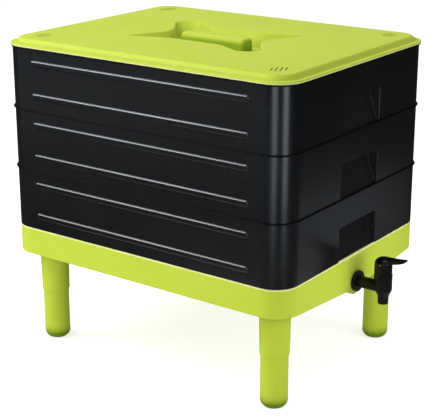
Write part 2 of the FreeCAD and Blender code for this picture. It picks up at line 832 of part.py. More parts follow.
def make_tap_body():
    body = tap_piece("tap_body")
    face = "size.washer_thickness + size.flange_thickness"
    barrel = new_sketch(body, "barrel", "XZ_Plane")
    add_outline(barrel, [
        ("-size.shank_inside", "0", None),
        ("size.tap_reach", "0", None),
        ("size.tap_reach", "size.barrel_radius", None),
        (face, "size.barrel_radius", None),
        (face, "size.flange_radius", "size.flange_rounding"),
        ("size.washer_thickness", "size.flange_radius", None),
        ("size.washer_thickness", "size.shank_radius", None),
        ("-size.shank_inside", "size.shank_radius", "size.flange_rounding"),
    ])
    turn(body, "Revolution", barrel, "H_Axis")

    upright = new_sketch(body, "upright", "XZ_Plane", shift="size.tap_reach")
    add_outline(upright, [
        ("0", "-size.spout_end", None),
        ("size.spout_end_radius", "-size.spout_end", "size.spout_rounding"),
        ("size.spout_top_radius", "-size.spout_top", "size.spout_blend"),
        ("size.tap_body_radius", "-size.tap_shoulder", "size.spout_blend"),
        ("size.tap_body_radius", "size.tap_body_top", "size.spout_rounding"),
        ("0", "size.tap_body_top", None),
    ])
    turn(body, "Revolution", upright, "V_Axis")

    below = "-size.spout_end - size.overlap"
    above = "size.tap_body_top + size.overlap"
    chamber = new_sketch(body, "chamber", "XZ_Plane", shift="size.tap_reach")
    add_outline(chamber, [
        ("0", below, None),
        ("size.spout_bore_radius", below, None),
        ("size.spout_bore_radius", "-size.seat_depth", None),
        ("size.chamber_radius", "-size.seat_depth", None),
        ("size.chamber_radius", above, None),
        ("0", above, None),
    ])
    turn(body, "Groove", chamber, "V_Axis")

    bore = new_sketch(body, "bore", "YZ_Plane", offset="size.tap_reach")
    add_circle(bore, "0", "0", "size.tap_bore_radius")
    pocket(body, bore, "size.tap_reach + size.shank_inside + size.overlap")
    return body


def make_tap_cap():
    body = tap_piece("tap_cap")
    hole = "size.stem_radius + size.running_gap"
    plug_radius = "size.chamber_radius - size.running_gap"
    inside = plug_radius + " - size.cap_plug_wall"
    neck_top = "size.tap_body_top + size.cap_neck_height"
    profile = new_sketch(body, "cap_profile", "XZ_Plane", shift="size.tap_reach")
    add_outline(profile, [
        (plug_radius, "size.tap_body_top - size.cap_plug_depth", None),
        (plug_radius, "size.tap_body_top", None),
        ("size.cap_neck_radius", "size.tap_body_top", None),
        ("size.cap_neck_radius", neck_top, None),
        ("size.cap_radius", neck_top, "size.cap_neck_rounding"),
        ("size.cap_radius", CAP_TOP, "size.cap_rounding"),
        (hole, CAP_TOP, None),
        (hole, CAP_TOP + " - size.cap_wall", None),
        (inside, CAP_TOP + " - size.cap_wall", None),
        (inside, "size.tap_body_top - size.cap_plug_depth", None),
    ])
    turn(body, "Revolution", profile, "V_Axis")
    return body


def make_tap_stem():
    body = tap_piece("tap_stem")
    profile = new_sketch(body, "stem_profile", "XZ_Plane", shift="size.tap_reach")
    add_outline(profile, [
        ("0", SEAL_TOP, None),
        ("size.seal_radius", SEAL_TOP, None),
        ("size.seal_radius", HOLDER_TOP, "size.holder_rounding"),
        ("size.stem_radius", HOLDER_TOP, None),
        ("size.stem_radius", PIN_HEIGHT + " + size.stem_radius", "size.stem_end_rounding"),
        ("0", PIN_HEIGHT + " + size.stem_radius", None),
    ])
    turn(body, "Revolution", profile, "V_Axis")
    eye = new_sketch(body, "stem_eye", "XZ_Plane", shift="size.tap_reach")
    add_circle(eye, "0", PIN_HEIGHT, "size.pin_radius + size.running_gap")
    pocket(body, eye, "2 * (size.stem_radius + size.overlap)", symmetric=True)
    return body


def make_tap_seal():
    body = tap_piece("tap_seal")
    profile = new_sketch(body, "seal_profile", "XZ_Plane", shift="size.tap_reach")
    add_rectangle(profile, "0", "size.seal_radius", "-size.seat_depth", SEAL_TOP)
    turn(body, "Revolution", profile, "V_Axis")
    return body


def make_tap_spring():
    """The return spring's coils fill this sleeve between the stem's disc and the cap."""
    body = tap_piece("tap_spring")
    profile = new_sketch(body, "spring_profile", "XZ_Plane", shift="size.tap_reach")
    add_rectangle(profile, "size.spring_inner_radius", "size.spring_outer_radius",
                  HOLDER_TOP, CAP_TOP + " - size.cap_wall")
    turn(body, "Revolution", profile, "V_Axis")
    return body


def make_tap_lever():
    """Lever: a blade that runs out of a round hood, which wraps the back of the cap."""
    body = pivot_piece("tap_lever")
    blade = new_sketch(body, "lever_blade", "XZ_Plane")
    add_outline(blade, [
        ("0", "size.lever_throat_z", None),
        ("size.lever_throat_x", "size.lever_throat_z", "size.lever_throat_radius"),
        ("size.lever_blade_x", "size.lever_blade_z", "size.lever_blade_radius"),
        ("size.lever_reach", "size.lever_rise - size.lever_tip", "size.lever_tip_rounding"),
        ("size.lever_reach", "size.lever_rise", "size.lever_tip_rounding"),
        ("size.lever_dip_x", "size.lever_dip_z", "size.lever_dip_radius"),
        ("0", "size.hood_crown", None),
    ])
    pad(body, blade, "size.lever_width", symmetric=True)
    round_edges(body, "lever_rounding", "size.lever_rounding",
                lambda point: near(abs(point.y), "size.lever_width / 2"))

    hood = new_sketch(body, "hood", "XZ_Plane")
    hood_inside = "size.hood_radius - size.hood_wall"
    add_outline(hood, [
        ("0", "-size.lever_heel", None),
        (hood_inside, "-size.lever_heel", "size.hood_edge_rounding"),
        (hood_inside, "-size.hood_depth", None),
        ("size.hood_radius", "-size.hood_depth", "size.hood_edge_rounding"),
        ("size.hood_radius", "size.hood_crown", "size.hood_rounding"),
        ("0", "size.hood_crown", None),
    ])
    turn(body, "Revolution", hood, "V_Axis")

    # The front is open, and its upper edge slants so that it clears the cap when the blade is down
    front = new_sketch(body, "hood_front", "XZ_Plane")
    beyond = "size.hood_radius + size.overlap"
    below = "-size.hood_depth - size.overlap"
    add_outline(front, [
        ("-size.hood_cheek_foot", below, None),
        (beyond, below, None),
        (beyond, "size.hood_brow", None),
        ("size.lever_front", "-size.lever_heel", None),
    ])
    pocket(body, front, "2 * (%s)" % beyond, symmetric=True)

    half_slot = "size.stem_radius + size.lever_slot_room"
    slot = new_sketch(body, "lever_slot", "XZ_Plane")
    add_rectangle(slot, negative(half_slot), half_slot, "-size.lever_heel - size.overlap",
                  "size.stem_radius + size.lever_slot_gap")
    pocket(body, slot, "2 * (size.stem_radius + size.lever_slot_gap)", symmetric=True)
    pivot = new_sketch(body, "lever_pivot", "XZ_Plane")
    add_circle(pivot, "0", "0", "size.pin_radius")
    pocket(body, pivot, "2 * (%s)" % beyond, symmetric=True)
    return body


def make_tap_pin():
    body = pivot_piece("tap_pin")
    section = new_sketch(body, "pin_section", "XZ_Plane")
    add_circle(section, "0", "0", "size.pin_radius")
    pad(body, section, "size.pin_length", symmetric=True)
    return body


# Assembly

parts = [make_collector()]
for corner, (leg_x, leg_y) in leg_places().items():
    parts.append(make_upper_leg(corner, leg_x, leg_y))
    parts.append(make_lower_leg(corner, leg_x, leg_y))
for level, label in enumerate(("tray_bottom", "tray_middle", "tray_top")):
    parts.append(make_tray(label, "%s + %d * size.tray_pitch" % (COLLECTOR_TOP, level)))
parts.append(make_lid())
parts.append(make_ring("tap_washer_outer", "0", "size.washer_thickness",
                       "size.shank_radius + size.thread_gap", "size.washer_radius"))
parts.append(make_ring("tap_washer_inner", "-size.wall - size.washer_thickness",
                       "size.washer_thickness", "size.shank_radius + size.thread_gap",
                       "size.washer_radius"))
parts.append(make_tap_nut())
parts.append(make_tap_body())
parts.append(make_tap_cap())
parts.append(make_tap_stem())
parts.append(make_tap_seal())
parts.append(make_tap_spring())
parts.append(make_tap_lever())
parts.append(make_tap_pin())

doc.recompute()
for item in doc.Objects:
    if "Invalid" in item.State or "Error" in item.State:
        raise RuntimeError("%s did not compute: %s" % (item.Label, item.State))
for part in parts:
    if part.Shape.isNull() or not part.Shape.isValid() or len(part.Shape.Solids) != 1:
        raise RuntimeError("%s is not one valid solid" % part.Label)

os.makedirs("parts", exist_ok=True)
for part in parts:
    part.Shape.exportStep("parts/%s.step" % part.Label)
    box = part.Shape.BoundBox
    corners = (box.XMin, box.XMax, box.YMin, box.YMax, box.ZMin, box.ZMax)
    spans = "x %.1f..%.1f  y %.1f..%.1f  z %.1f..%.1f" % corners
    print("%-24s %9.1f mm3  %s" % (part.Label, part.Shape.Volume, spans))
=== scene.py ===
import math

import bmesh
import bpy
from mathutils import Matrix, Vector


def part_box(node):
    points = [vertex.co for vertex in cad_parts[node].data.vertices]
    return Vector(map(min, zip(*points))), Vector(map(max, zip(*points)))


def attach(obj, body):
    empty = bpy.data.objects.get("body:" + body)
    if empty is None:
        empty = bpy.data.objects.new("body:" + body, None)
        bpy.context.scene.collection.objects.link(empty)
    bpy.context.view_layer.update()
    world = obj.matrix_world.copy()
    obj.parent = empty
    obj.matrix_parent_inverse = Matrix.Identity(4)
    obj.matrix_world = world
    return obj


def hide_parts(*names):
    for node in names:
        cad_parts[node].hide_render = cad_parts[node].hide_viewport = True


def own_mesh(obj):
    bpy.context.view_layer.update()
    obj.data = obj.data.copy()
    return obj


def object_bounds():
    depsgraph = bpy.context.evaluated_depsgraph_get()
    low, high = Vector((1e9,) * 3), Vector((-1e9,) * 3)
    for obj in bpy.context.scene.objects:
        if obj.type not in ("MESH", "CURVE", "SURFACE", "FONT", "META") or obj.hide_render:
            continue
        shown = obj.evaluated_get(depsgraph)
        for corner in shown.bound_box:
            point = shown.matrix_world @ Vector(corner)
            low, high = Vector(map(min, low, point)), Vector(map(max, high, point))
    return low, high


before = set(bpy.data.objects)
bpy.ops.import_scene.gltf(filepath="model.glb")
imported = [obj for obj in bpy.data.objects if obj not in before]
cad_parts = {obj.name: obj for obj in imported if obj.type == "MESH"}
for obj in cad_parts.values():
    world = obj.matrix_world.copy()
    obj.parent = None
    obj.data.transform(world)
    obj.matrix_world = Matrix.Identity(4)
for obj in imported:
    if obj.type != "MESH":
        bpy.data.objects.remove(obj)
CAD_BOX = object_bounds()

bl_info = {
    "name": "Stacked Wormery",
    "version": (1, 0, 0),
    "blender": (4, 5, 0),
    "location": "3D View > Sidebar > Wormery",
    "description": "Finishes a stacked wormery: moulded plastics, tap details and a plain studio",
    "category": "Object",
}

MM = 0.001

# Picture that the camera is set for, in pixels
PICTURE_WIDTH = 433
PICTURE_HEIGHT = 418

# Camera found from the photograph's edges and corners: metres, degrees and pixels
CAMERA_PLACE = (1.0727, -1.5449, 0.8599)
CAMERA_AZIMUTH = 35.76
CAMERA_PITCH = 17.31
FOCAL_PIXELS = 1218.3
AXIS_ROW = 185

# Width of the camera's sensor in millimetres and the farthest that it sees in metres
SENSOR_WIDTH = 36
FARTHEST_SEEN = 50

# Sizes of the solids: the radius of the tap's shank and the height of the lip round each tray
SHANK_RADIUS = 9.8 * MM
LIP_HEIGHT = 2.2 * MM

# Heights of the painted highlights along the upper edge of the collector and the edge of the lid's rim
PAINTED_HIGHLIGHT_EDGE = 2.6 * MM
PAINTED_HIGHLIGHT_RIM = 2.2 * MM

# How far a band reaches past the seam where its moulding ends
PAST_SEAM = 0.1 * MM

# The stack's outside is farther from its middle than this, and the lid's hand-hold is nearer
INSIDE_REACH = 195 * MM

# Moulded plastic: distance between the melt's soft patches, rounding of its edges, depth of its grain,
# and how far off another moulding the painted shade still reaches
MELT_PATCH = 90 * MM
EDGE_ROUNDING = 0.9 * MM
GRAIN_DEPTH = 0.06 * MM
PAINTED_SHADE_REACH = 40 * MM

# Values between which most of a pattern of the melt's flow lies
FLOW_SPREAD = (0.3, 0.7)

# Distance between the patches of the rubber's bloom and between the marks on the drawn wire
BLOOM_PATCH = 4 * MM
WIRE_MARK = 0.8 * MM

# Least and greatest roughness of the rubber and of the wire
RUBBER_ROUGHNESS = (0.7, 0.92)
WIRE_ROUGHNESS = (0.22, 0.38)

# Polypropylene's index is also near enough for the tap's ABS
PLASTIC_IOR = 1.49
RUBBER_IOR = 1.52

# Colours of the studio's light: plain white, the grey that the floor sends back to matt surfaces,
# and the cool white of the cards that only the gloss picks up
WHITE = (1, 1, 1, 1)
BOUNCE_GREY = (0.5, 0.5, 0.5, 1)
CARD_TINT = (0.82, 0.91, 1.0)

# Half the side of the studio's floor in metres
FLOOR_REACH = 12


def linear_colour(code):
    """Linear RGBA of an sRGB hex code."""
    channels = [int(code[place:place + 2], 16) / 255 for place in (0, 2, 4)]
    linear = [c / 12.92 if c <= 0.04045 else ((c + 0.055) / 1.055) ** 2.4 for c in channels]
    return (*linear, 1.0)


# Sizes and colours that a user would change

def length(name, description, millimetres):
    """Length whose default is given in millimetres."""
    return bpy.props.FloatProperty(name=name, description=description, default=millimetres * MM,
                                   min=0.0, unit="LENGTH", precision=5)


def colour(name, description, code):
    """Colour whose default is given as an sRGB hex code."""
    return bpy.props.FloatVectorProperty(name=name, description=description, subtype="COLOR", size=4,
                                         min=0.0, max=1.0, default=linear_colour(code))


class WormerySizes(bpy.types.PropertyGroup):
    wire_radius: length("Spring wire radius", "Radius of the tap spring's wire", 0.6)
    thread_pitch: length("Thread pitch", "Pitch of the thread on the tap's shank", 1.8)
    thread_depth: length("Thread depth", "How far the thread stands proud of the shank", 0.7)
    mould_grain: length("Mould grain", "Distance between the grains of the moulded plastics", 1.6)
    spring_turns: bpy.props.IntProperty(name="Spring turns", description="Turns of the tap's spring",
                                        default=8, min=2)


class WormeryColours(bpy.types.PropertyGroup):
    lime: colour("Lime", "Moulded lid, collector and legs", "BCCF3B")
    lime_pale: colour("Pale lime", "Paler flow of the lime plastic", "C4D448")
    # A painted highlight: pale lime painted on the collector's upper edge and the lid's rim
    lime_painted_highlight: colour("Rubbed lime", "Lime plastic at its rubbed edges", "E6ECA0")
    # A painted shade: deep lime painted where the plastic lies close under another moulding
    lime_painted_shade: colour("Deep lime", "Lime plastic in the shade close under another moulding", "6F9004")
    charcoal: colour("Charcoal", "Moulded trays", "090A0C")
    charcoal_pale: colour("Pale charcoal", "Paler flow of the charcoal plastic", "0C0E10")
    tap_black: colour("Tap black", "Moulded tap", "08090A")
    tap_black_pale: colour("Pale tap black", "Paler flow of the tap's black plastic", "0A0B0C")
    rubber: colour("Rubber", "Washers and the valve's seal", "0E0E0E")
    steel: colour("Steel", "Spring wire and the lever's pin", "B9BBBD")
    floor: colour("Floor", "Studio floor", "F2F2F2")


# Materials

def add(tree, kind, inputs=None, **settings):
    """A node with its settings; inputs are values or the sockets that feed them."""
    node = tree.nodes.new(kind)
    for name, value in settings.items():
        setattr(node, name, value)
    for name, value in (inputs or {}).items():
        if isinstance(value, bpy.types.NodeSocket):
            tree.links.new(value, node.inputs[name])
        else:
            node.inputs[name].default_value = value
    return node


def new_material(name):
    """Material with no nodes yet."""
    material = bpy.data.materials.new(name)
    material.use_nodes = True
    material.node_tree.nodes.clear()
    return material


def finish_material(material, surface):
    """Ends a material's nodes with its surface."""
    add(material.node_tree, "ShaderNodeOutputMaterial", {"Surface": surface.outputs[0]})
    return material


def moulded_plastic(name, body_colour, flow_colour, grain, roughness, roughness_swing, gloss, bloom=0.0,
                    painted_shade=None):
    """Injection-moulded plastic: even colour with a faint flow of the melt, and a spark-eroded grain.

    painted_shade is the colour painted in as shade, then how open the surface is where that painted shade is
    full and where it ends.
    """
    material = new_material(name)
    tree = material.node_tree
    place = add(tree, "ShaderNodeTexCoord").outputs["Object"]
    flow = add(tree, "ShaderNodeTexNoise",
               {"Vector": place, "Scale": 1 / MELT_PATCH, "Detail": 2.0, "Roughness": 0.5})
    shade = add(tree, "ShaderNodeMix",
                {"Factor": flow.outputs["Fac"], "A": body_colour, "B": flow_colour}, data_type="RGBA")
    if painted_shade is not None:
        # Painted shade: little light reaches the plastic close under another moulding, so its colour is
        # painted deeper there
        painted_shade_colour, full_shade, no_shade = painted_shade
        crevice = add(tree, "ShaderNodeAmbientOcclusion", {"Distance": PAINTED_SHADE_REACH}, samples=12)
        depth = add(tree, "ShaderNodeMapRange",
                    {"Value": crevice.outputs["AO"], "From Min": full_shade, "From Max": no_shade})
        shade = add(tree, "ShaderNodeMix", {"Factor": depth.outputs["Result"], "A": painted_shade_colour,
                                            "B": shade.outputs["Result"]}, data_type="RGBA")
    # A real grain is about 0.3 mm and too fine for the picture, so it is drawn coarser
    grains = add(tree, "ShaderNodeTexNoise",
                 {"Vector": place, "Scale": 1 / grain, "Detail": 3.0, "Roughness": 0.6})
    # Every moulded edge is a little rounded, so it catches a thin line of light
    edges = add(tree, "ShaderNodeBevel", {"Radius": EDGE_ROUNDING}, samples=6)
    relief = add(tree, "ShaderNodeBump",
                 {"Height": grains.outputs["Fac"], "Strength": 0.25, "Distance": GRAIN_DEPTH,
                  "Normal": edges.outputs["Normal"]})
    # Where the melt has flowed farther, the surface is a little duller
    dulled = add(tree, "ShaderNodeMapRange",
                 {"Value": flow.outputs["Fac"], "From Min": FLOW_SPREAD[0], "From Max": FLOW_SPREAD[1],
                  "To Min": roughness - roughness_swing, "To Max": roughness + roughness_swing})
    surface = add(tree, "ShaderNodeBsdfPrincipled",
                  {"Base Color": shade.outputs["Result"], "Roughness": dulled.outputs["Result"],
                   "Normal": relief.outputs["Normal"], "IOR": PLASTIC_IOR, "Specular IOR Level": gloss,
                   "Sheen Weight": bloom, "Sheen Roughness": 0.4})
    return finish_material(material, surface)


def level_bands(tree, bands):
    """Socket that is 1 on the stack's outside within level bands, each given by its low and high edge."""
    place = add(tree, "ShaderNodeTexCoord").outputs["Object"]
    height = add(tree, "ShaderNodeSeparateXYZ", {0: place})
    level = add(tree, "ShaderNodeVectorMath", {0: place, 1: (1, 1, 0)}, operation="MULTIPLY")
    reach = add(tree, "ShaderNodeVectorMath", {0: level.outputs["Vector"]}, operation="LENGTH")
    chosen = add(tree, "ShaderNodeMath", {0: reach.outputs["Value"], 1: INSIDE_REACH},
                 operation="GREATER_THAN")
    within = []
    for low, high in bands:
        band = add(tree, "ShaderNodeMath",
                   {0: height.outputs["Z"], 1: (low + high) / 2, 2: (high - low) / 2}, operation="COMPARE")
        within.append(band.outputs[0])
    any_band = within[0]
    for band in within[1:]:
        any_band = add(tree, "ShaderNodeMath", {0: any_band, 1: band}, operation="MAXIMUM").outputs[0]
    return add(tree, "ShaderNodeMath", {0: any_band, 1: chosen.outputs[0]}, operation="MULTIPLY").outputs[0]


def change_gloss(material, bands, gloss):
    """Gives the level bands of a material another gloss."""
    tree = material.node_tree
    plain = tree.nodes["Principled BSDF"].inputs["Specular IOR Level"]
    level = add(tree, "ShaderNodeMapRange",
                {"Value": level_bands(tree, bands), "To Min": plain.default_value, "To Max": gloss})
    tree.links.new(level.outputs["Result"], plain)


def change_colour(material, bands, band_colour):
    """Gives the level bands of a material another colour."""
    tree = material.node_tree
    plain = tree.nodes["Principled BSDF"].inputs["Base Color"]
    mixed = add(tree, "ShaderNodeMix",
                {"Factor": level_bands(tree, bands), "A": plain.links[0].from_socket, "B": band_colour},
                data_type="RGBA")
    tree.links.new(mixed.outputs["Result"], plain)


def rubber(name, body_colour):
    """Moulded rubber: near-black and matt, with a fine bloom that dulls it in patches."""
    material = new_material(name)
    tree = material.node_tree
    place = add(tree, "ShaderNodeTexCoord").outputs["Object"]
    bloom = add(tree, "ShaderNodeTexNoise",
                {"Vector": place, "Scale": 1 / BLOOM_PATCH, "Detail": 4.0})
    dulled = add(tree, "ShaderNodeMapRange",
                 {"Value": bloom.outputs["Fac"], "To Min": RUBBER_ROUGHNESS[0],
                  "To Max": RUBBER_ROUGHNESS[1]})
    surface = add(tree, "ShaderNodeBsdfPrincipled",
                  {"Base Color": body_colour, "Roughness": dulled.outputs["Result"], "IOR": RUBBER_IOR})
    return finish_material(material, surface)


def drawn_steel(name, body_colour):
    """Drawn stainless wire: bright, with a polish that the die has left uneven."""
    material = new_material(name)
    tree = material.node_tree
    place = add(tree, "ShaderNodeTexCoord").outputs["Object"]
    # The die's marks are a few hundredths of a millimetre wide, so they are drawn coarser
    marks = add(tree, "ShaderNodeTexNoise",
                {"Vector": place, "Scale": 1 / WIRE_MARK, "Detail": 2.0})
    polish = add(tree, "ShaderNodeMapRange",
                 {"Value": marks.outputs["Fac"], "To Min": WIRE_ROUGHNESS[0], "To Max": WIRE_ROUGHNESS[1]})
    surface = add(tree, "ShaderNodeBsdfPrincipled",
                  {"Base Color": body_colour, "Metallic": 1.0, "Roughness": polish.outputs["Result"]})
    return finish_material(material, surface)


def dress(nodes, material):
    """Gives nodes of the frame one material."""
    for name in nodes:
        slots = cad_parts[name].data.materials
        slots.clear()
        slots.append(material)


# Mesh helpers

def sweep(name, path, section, smooth):
    """Mesh of a flat section, given as (outward, upward) steps, carried along frames of a path."""
    mesh = bpy.data.meshes.new(name)
    work = bmesh.new()
    rings = []
    for centre, outward, upward in path:
        rings.append([work.verts.new(centre + outward * out + upward * up) for out, up in section])
    count = len(section)
    for ring, following in zip(rings, rings[1:]):
        for place in range(count):
            after = (place + 1) % count
            work.faces.new((ring[place], ring[after], following[after], following[place]))
    work.faces.new(list(reversed(rings[0])))
    work.faces.new(rings[-1])
    bmesh.ops.recalc_face_normals(work, faces=work.faces)
    work.to_mesh(mesh)
    work.free()
    for face in mesh.polygons:
        face.use_smooth = smooth
    piece = bpy.data.objects.new(name, mesh)
    bpy.context.scene.collection.objects.link(piece)
    return piece


def round_section(radius, sides):
    """Round section as (outward, upward) steps."""
    angles = [2 * math.pi * place / sides for place in range(sides)]
    return [(radius * math.cos(angle), radius * math.sin(angle)) for angle in angles]


def coil_path(foot, upward, first, radius, steps_per_turn, climbs):
    """Frames of a coil that winds upward from its foot, with its first side and its climb at each step."""
    quarter = upward.cross(first)
    path = []
    for step, climb in enumerate(climbs):
        angle = 2 * math.pi * step / steps_per_turn
        outward = first * math.cos(angle) + quarter * math.sin(angle)
        path.append((foot + upward * climb + outward * radius, outward, upward))
    return path


# Operators

class WORMERY_OT_lime_plastic(bpy.types.Operator):
    """Finishes the lid, the collector and the legs"""
    bl_idname = "wormery.lime_plastic"
    bl_label = "Lime mouldings"

    def execute(self, context):
        colours = context.scene.wormery_colours
        sizes = context.scene.wormery_sizes
        # Moulded polypropylene: satin, a little waxy, evenly coloured through
        finish = {"body_colour": colours.lime, "flow_colour": colours.lime_pale, "grain": sizes.mould_grain,
                  "roughness": 0.5, "roughness_swing": 0.03, "gloss": 0.12, "bloom": 0.12}
        # The painted shade spreads wide on the large mouldings, and ends soon on the legs under the
        # collector
        large_painted_shade = (colours.lime_painted_shade, 0.2, 0.92)
        leg_painted_shade = (colours.lime_painted_shade, 0.66, 0.8)
        large = moulded_plastic("polypropylene_moulded_lime", **finish, painted_shade=large_painted_shade)
        dress(["lid", "collector"], large)
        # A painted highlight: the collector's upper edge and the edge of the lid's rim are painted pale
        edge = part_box("collector")[1].z
        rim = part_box("tray_top")[1].z
        bands = [(edge - PAINTED_HIGHLIGHT_EDGE, edge), (rim - PAST_SEAM, rim + PAINTED_HIGHLIGHT_RIM)]
        change_colour(large, bands, colours.lime_painted_highlight)
        legs = [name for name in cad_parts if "_leg_" in name]
        dress(legs, moulded_plastic("polypropylene_moulded_lime_leg", **finish, painted_shade=leg_painted_shade))
        return {"FINISHED"}


class WORMERY_OT_charcoal_plastic(bpy.types.Operator):
    """Finishes the three trays"""
    bl_idname = "wormery.charcoal_plastic"
    bl_label = "Charcoal trays"

    def execute(self, context):
        colours = context.scene.wormery_colours
        sizes = context.scene.wormery_sizes
        # Moulded polypropylene with carbon black: satin, with clear soft reflections on its ribs
        material = moulded_plastic("polypropylene_moulded_charcoal", colours.charcoal,
                                   colours.charcoal_pale, sizes.mould_grain, roughness=0.26,
                                   roughness_swing=0.03, gloss=1.0)
        trays = [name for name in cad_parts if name.startswith("tray_")]
        dress(trays, material)
        # The lips scuff on each other when the trays are stacked, so they are matt
        lip_gloss = 0.08
        tops = [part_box(name)[1].z for name in trays]
        change_gloss(material, [(top - LIP_HEIGHT, top + PAST_SEAM) for top in tops], lip_gloss)
        return {"FINISHED"}


class WORMERY_OT_tap_plastic(bpy.types.Operator):
    """Finishes the tap's mouldings and its rubber"""
    bl_idname = "wormery.tap_plastic"
    bl_label = "Tap mouldings"

    def execute(self, context):
        colours = context.scene.wormery_colours
        sizes = context.scene.wormery_sizes
        # Moulded ABS: black with a soft gloss
        material = moulded_plastic("abs_moulded_black", colours.tap_black, colours.tap_black_pale,
                                   sizes.mould_grain, roughness=0.3, roughness_swing=0.04, gloss=0.25)
        dress(["tap_body", "tap_cap", "tap_nut", "tap_stem", "tap_lever"], material)
        dress(["tap_washer_outer", "tap_washer_inner", "tap_seal"],
              rubber("rubber_moulded_black", colours.rubber))
        return {"FINISHED"}


class WORMERY_OT_tap_spring(bpy.types.Operator):
    """Winds the tap's return spring and finishes it and the lever's pin"""
    bl_idname = "wormery.tap_spring"
    bl_label = "Tap spring and pin"

    def execute(self, context):
        sizes = context.scene.wormery_sizes
        steel = drawn_steel("stainless_steel_drawn", context.scene.wormery_colours.steel)
        low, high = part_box("tap_spring")
        axis = (low + high) / 2
        coil_radius = (high.x - low.x) / 2 - sizes.wire_radius
        rise = high.z - low.z - 2 * sizes.wire_radius
        steps_per_turn = 24
        wire_sides = 10
        # The first and last turns lie nearly flat: 1 would end them quite flat
        end_flatness = 0.8
        steps = sizes.spring_turns * steps_per_turn
        shares = [step / steps for step in range(steps + 1)]
        climbs = [rise * (share - math.sin(2 * math.pi * share) / (2 * math.pi) * end_flatness)
                  for share in shares]
        foot = Vector((axis.x, axis.y, low.z + sizes.wire_radius))
        path = coil_path(foot, Vector((0, 0, 1)), Vector((1, 0, 0)), coil_radius, steps_per_turn, climbs)
        wire = round_section(sizes.wire_radius, wire_sides)
        spring = sweep("tap_return_spring", path, wire, smooth=True)
        spring.data.materials.append(steel)
        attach(spring, "valve")
        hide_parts("tap_spring")
        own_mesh(spring)
        dress(["tap_pin"], steel)
        return {"FINISHED"}


class WORMERY_OT_shank_thread(bpy.types.Operator):
    """Cuts the thread that the nut runs on, on the shank inside the collector"""
    bl_idname = "wormery.shank_thread"
    bl_label = "Shank thread"

    def execute(self, context):
        sizes = context.scene.wormery_sizes
        tap_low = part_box("tap_body")[0]
        nut_low, nut_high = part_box("tap_nut")
        middle = (nut_low + nut_high) / 2
        # The thread leaves the shank's end and the nut's face clear
        end_clear = 1.5 * MM
        nut_clear = 0.3 * MM
        start = tap_low.x + end_clear
        end = nut_low.x - nut_clear
        steps_per_turn = 32
        steps = max(int((end - start - sizes.thread_pitch) / sizes.thread_pitch * steps_per_turn),
                    steps_per_turn)
        # The ridge's foot is a share of the pitch and its crest a share of the foot, which is sunk a little
        foot_share = 0.64
        crest_share = 0.25
        sunk = 0.2 * MM
        half_foot = sizes.thread_pitch * foot_share / 2
        half_crest = half_foot * crest_share
        climbs = [sizes.thread_pitch * step / steps_per_turn for step in range(steps + 1)]
        foot = Vector((start + half_foot, middle.y, middle.z))
        path = coil_path(foot, Vector((1, 0, 0)), Vector((0, 1, 0)), SHANK_RADIUS, steps_per_turn, climbs)
        ridge = [(-sunk, -half_foot), (sizes.thread_depth, -half_crest),
                 (sizes.thread_depth, half_crest), (-sunk, half_foot)]
        thread = sweep("tap_shank_thread", path, ridge, smooth=False)
        thread.data.materials.append(bpy.data.materials["abs_moulded_black"])
        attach(thread, "base")
        return {"FINISHED"}


class WORMERY_OT_studio(bpy.types.Operator):
    """Sets the floor, the lamps, the backdrop and the camera"""
    bl_idname = "wormery.studio"
    bl_label = "Studio"

    def execute(self, context):
        scene = context.scene
        make_floor(scene.wormery_colours.floor)
        make_world(scene)
        low, high = CAD_BOX
        middle = (low + high) / 2
        # Places on the stack that lamps are turned to: its long wall and its corner towards the camera
        long_wall = (0.0, -0.2, 0.35)
        near_corner = (0.19, -0.17, 0.45)
        add_lamp("key_softbox", (-1.5, -1.1, 2.0), middle, width=1.2, height=1.2, watts=36)
        add_lamp("overhead_softbox", (0.0, 0.3, 2.4), middle, width=1.8, height=1.4, watts=15)
        # Low fill that lights the base and the legs without showing in the gloss
        add_lamp("front_low_fill", (-0.2, -1.1, 0.3), (-0.1, -0.2, 0.14), width=1.0, height=0.12, watts=4.3,
                 gloss=False)
        add_lamp("right_low_fill", (0.6, 0.0, 0.22), (0.22, 0.0, 0.17), width=0.5, height=0.12, watts=1.1,
                 gloss=False)
        # Cards that only the gloss of the walls and the ribs picks up
        add_lamp("rib_card", (-1.24, -1.25, 1.7), long_wall, width=0.9, height=1.8, watts=16, matt=False)
        add_lamp("front_corner_card", (0.57, -1.16, 0.45), near_corner, width=0.36, height=0.9, watts=1.7,
                 matt=False)
        add_lamp("right_corner_card", (1.15, -0.6, 0.45), near_corner, width=0.36, height=0.9, watts=1.9,
                 matt=False)
        add_lamp("front_wall_card", (-0.65, -1.05, 0.35), long_wall, width=1.4, height=0.5, watts=0.3,
                 matt=False)
        add_lamp("right_wall_card", (0.5, 0.4, 0.08), (0.22, 0.4, 0.12), width=0.5, height=0.16, watts=0.05,
                 matt=False)
        set_camera(scene)
        scene.view_settings.view_transform = "Standard"
        return {"FINISHED"}


